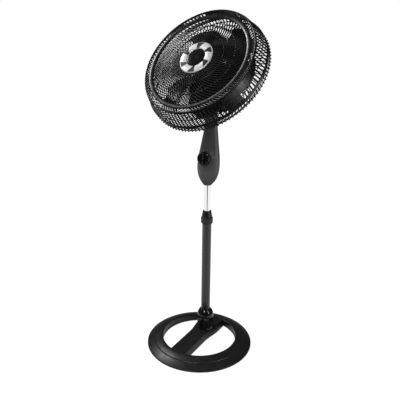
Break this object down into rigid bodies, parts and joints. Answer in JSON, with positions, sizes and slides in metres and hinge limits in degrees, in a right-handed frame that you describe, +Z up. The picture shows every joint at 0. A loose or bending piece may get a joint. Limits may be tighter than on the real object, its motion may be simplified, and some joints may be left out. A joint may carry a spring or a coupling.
{
  "type": "pedestal fan",
  "caption": "Pedestal fan with a ring base, telescopic column, dial neck and a tilting, swinging caged head with six blades.",
  "frame": {"origin": "on the floor, on the axis of the column, at the middle of the rubber pad under it", "axes": "+Z up along the column, -Y to the front that the neck and head face, +X to the right seen from the front"},
  "size_m": [0.4824, 0.4518, 1.3296],
  "materials": {
    "black_plastic": "satin moulded black",
    "grille_black": "semi-gloss moulded black",
    "gloss_black": "gloss black",
    "neck_grey": "fine-textured dark grey",
    "tube_paint": "satin black powder coat",
    "chrome": "polished",
    "steel": "zinc plated",
    "cast_aluminium": "as cast",
    "cast_iron": "painted casting",
    "nylon": "natural nylon",
    "bronze": "sintered",
    "copper": "enamelled wire",
    "rubber": "matt",
    "badge_silver": "silver paint"
  },
  "bodies": {
    "base": {"base_shell": "black_plastic", "ballast_ring": "cast_iron", "ring_plate": "black_plastic", "foot_plate": "steel", "base_pad_0": "rubber", "base_pad_1": "rubber", "base_pad_2": "rubber", "base_pad_3": "rubber", "base_pad_4": "rubber", "column_socket": "cast_aluminium", "base_bolt": "steel", "foot_dome": "gloss_black", "outer_tube": "tube_paint", "collet": "black_plastic"},
    "height_ring": {"height_nut": "black_plastic"},
    "neck": {"mast": "chrome", "mast_guide": "nylon", "neck_front": "neck_grey", "neck_back": "neck_grey", "control_panel": "neck_grey", "neck_core": "black_plastic", "tilt_bolt": "steel", "neck_screw_0": "steel", "neck_screw_1": "steel", "capacitor": "nylon", "cord_bush": "rubber", "speed_switch": "black_plastic"},
    "hand_nut": {"tilt_hand_nut": "black_plastic"},
    "knob": {"speed_knob": "gloss_black", "switch_shaft": "steel"},
    "bracket": {"tilt_bracket": "cast_aluminium", "swing_pin": "steel"},
    "link": {"link_arm": "steel"},
    "head": {"gear_case": "cast_aluminium", "case_cover": "black_plastic", "motor_cover": "black_plastic", "front_bell": "cast_aluminium", "rear_bell": "cast_aluminium", "stator": "steel", "front_winding": "copper", "rear_winding": "copper", "front_bush": "bronze", "rear_bush": "bronze", "rear_grille": "grille_black", "grille_nut": "black_plastic", "front_grille": "grille_black", "grille_clip_0": "grille_black", "grille_clip_1": "grille_black", "grille_clip_2": "grille_black", "badge_ring": "badge_silver", "badge_disc": "black_plastic"},
    "rotor": {"rotor_core": "cast_aluminium", "motor_shaft": "steel", "worm": "steel", "fan_blade": "gloss_black", "blade_nut": "gloss_black"},
    "wheel": {"worm_wheel": "nylon"},
    "crank": {"crank_gear": "nylon"},
    "pull_knob": {"swing_knob": "gloss_black"}
  },
  "joints": [
    {"name": "height_slide", "type": "slide", "parent": "base", "child": "neck", "axis": [0, 0, 1], "range_m": [-0.1, 0.2]},
    {"name": "height_nut_turn", "type": "hinge", "parent": "base", "child": "height_ring", "pos_m": [0, 0, 0.528], "axis": [0, 0, 1], "range_deg": [0, 270]},
    {"name": "tilt_nut_turn", "type": "hinge", "parent": "neck", "child": "hand_nut", "pos_m": [-0.026, 0.022, 0.989], "axis": [-1, 0, 0], "range_deg": [-180, 90]},
    {"name": "speed_knob_turn", "type": "hinge", "parent": "neck", "child": "knob", "pos_m": [0, -0.02446, 0.7865], "axis": [0, -0.9848, 0.1736], "range_deg": [-150, 0]},
    {"name": "tilt", "type": "hinge", "parent": "neck", "child": "bracket", "pos_m": [0, 0.022, 0.989], "axis": [-1, 0, 0], "range_deg": [-43, 12]},
    {"name": "swing", "type": "hinge", "parent": "bracket", "child": "head", "pos_m": [0, 0.022, 0.989], "axis": [0, 0.6198, 0.7848], "range_deg": [-40, 48]},
    {"name": "link_follow", "type": "hinge", "parent": "bracket", "child": "link", "pos_m": [0.013, 0.03541, 0.99791], "axis": [0, 0.6198, 0.7848], "range_deg": [-41, 49]},
    {"name": "rotor_spin", "type": "hinge", "parent": "head", "child": "rotor", "pos_m": [0, 0.06848, 1.04786], "axis": [-0.0698, -0.7829, 0.6183], "continuous": true},
    {"name": "worm_wheel_spin", "type": "hinge", "parent": "head", "child": "wheel", "pos_m": [0.01913, 0.0477, 0.96871], "axis": [0, 0.6198, 0.7848], "continuous": true},
    {"name": "crank_spin", "type": "hinge", "parent": "head", "child": "crank", "pos_m": [0.00212, 0.05705, 0.96132], "axis": [0, 0.6198, 0.7848], "continuous": true},
    {"name": "swing_knob_pull", "type": "slide", "parent": "head", "child": "pull_knob", "axis": [0, 0.6198, 0.7848], "range_m": [0, 0.008]}
  ],
  "couplings": [
    {"joint": "link_follow", "follows": "swing", "ratio": 1},
    {"joint": "worm_wheel_spin", "follows": "rotor_spin", "ratio": 0.0625},
    {"joint": "crank_spin", "follows": "rotor_spin", "ratio": -0.022321}
  ]
}
